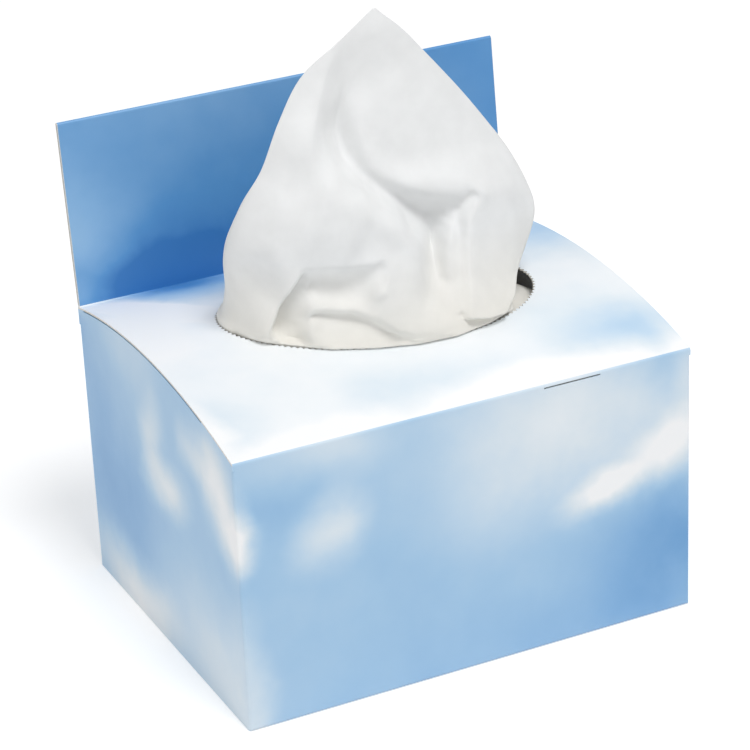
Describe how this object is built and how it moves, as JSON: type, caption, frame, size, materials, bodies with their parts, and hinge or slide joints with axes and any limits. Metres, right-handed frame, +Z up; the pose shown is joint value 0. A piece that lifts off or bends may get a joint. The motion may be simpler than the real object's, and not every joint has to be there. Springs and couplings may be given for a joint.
{
  "type": "tissue box",
  "caption": "Folded paperboard tissue box with an arched top, a doubled header panel standing at the back, and a tissue drawn up through a toothed oval mouth.",
  "frame": {"origin": "centre of the carton's base, on the surface it stands on", "axes": "+Z up, -Y towards the front wall, +X to the right seen from the front"},
  "size_m": [0.12, 0.0993, 0.1523],
  "materials": {
    "printed_board": "satin",
    "tissue": "matte"
  },
  "bodies": {
    "root": {"carton": "printed_board", "tissue_pile": "tissue", "standing_tissue": "tissue"}
  },
  "joints": []
}
